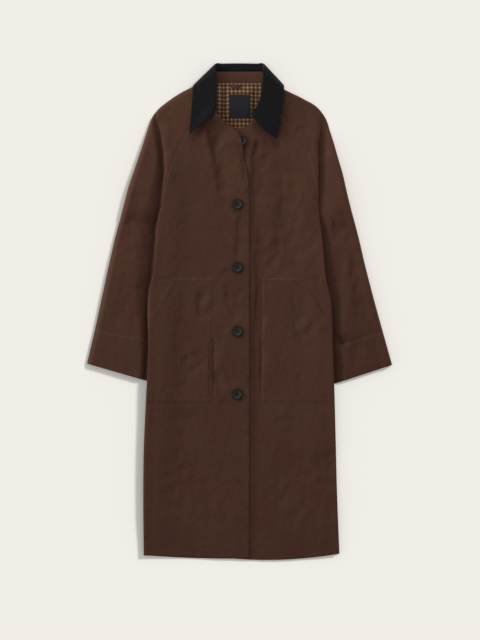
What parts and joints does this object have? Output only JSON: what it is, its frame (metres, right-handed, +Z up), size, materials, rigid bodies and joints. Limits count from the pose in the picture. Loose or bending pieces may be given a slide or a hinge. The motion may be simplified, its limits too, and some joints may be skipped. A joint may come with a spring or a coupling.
{
  "type": "long raglan coat",
  "caption": "Long raglan-sleeved coat in brown waxed cotton, laid flat, with a pointed black corduroy collar, checked lining at the neck, patch pockets and a buttoned front.",
  "frame": {"origin": "on the surface that the coat lies on, under the middle of its box", "axes": "+Y from the hem to the collar, +X to the wearer's left, +Z up out of the front"},
  "size_m": [0.702, 1.1437, 0.0144],
  "materials": {
    "shell": "dense brown waxed cotton with a faint dull sheen",
    "collar": "black fine-wale corduroy",
    "lining": "woven cotton in a small brown and cream check",
    "label": "bare black satin-woven tape",
    "button": "dark moulded plastic, half matt"
  },
  "bodies": {
    "root": {"back": "shell", "front_right": "shell", "front_left": "shell", "sleeve_right_front": "shell", "sleeve_right_back": "shell", "sleeve_left_front": "shell", "sleeve_left_back": "shell", "pocket_right": "shell", "pocket_left": "shell", "collar": "collar", "collar_stand": "shell", "lining": "lining", "label": "label", "hanger_loop": "shell", "button_1": "button", "button_2": "button", "button_3": "button", "button_4": "button", "button_5": "button"}
  },
  "joints": []
}
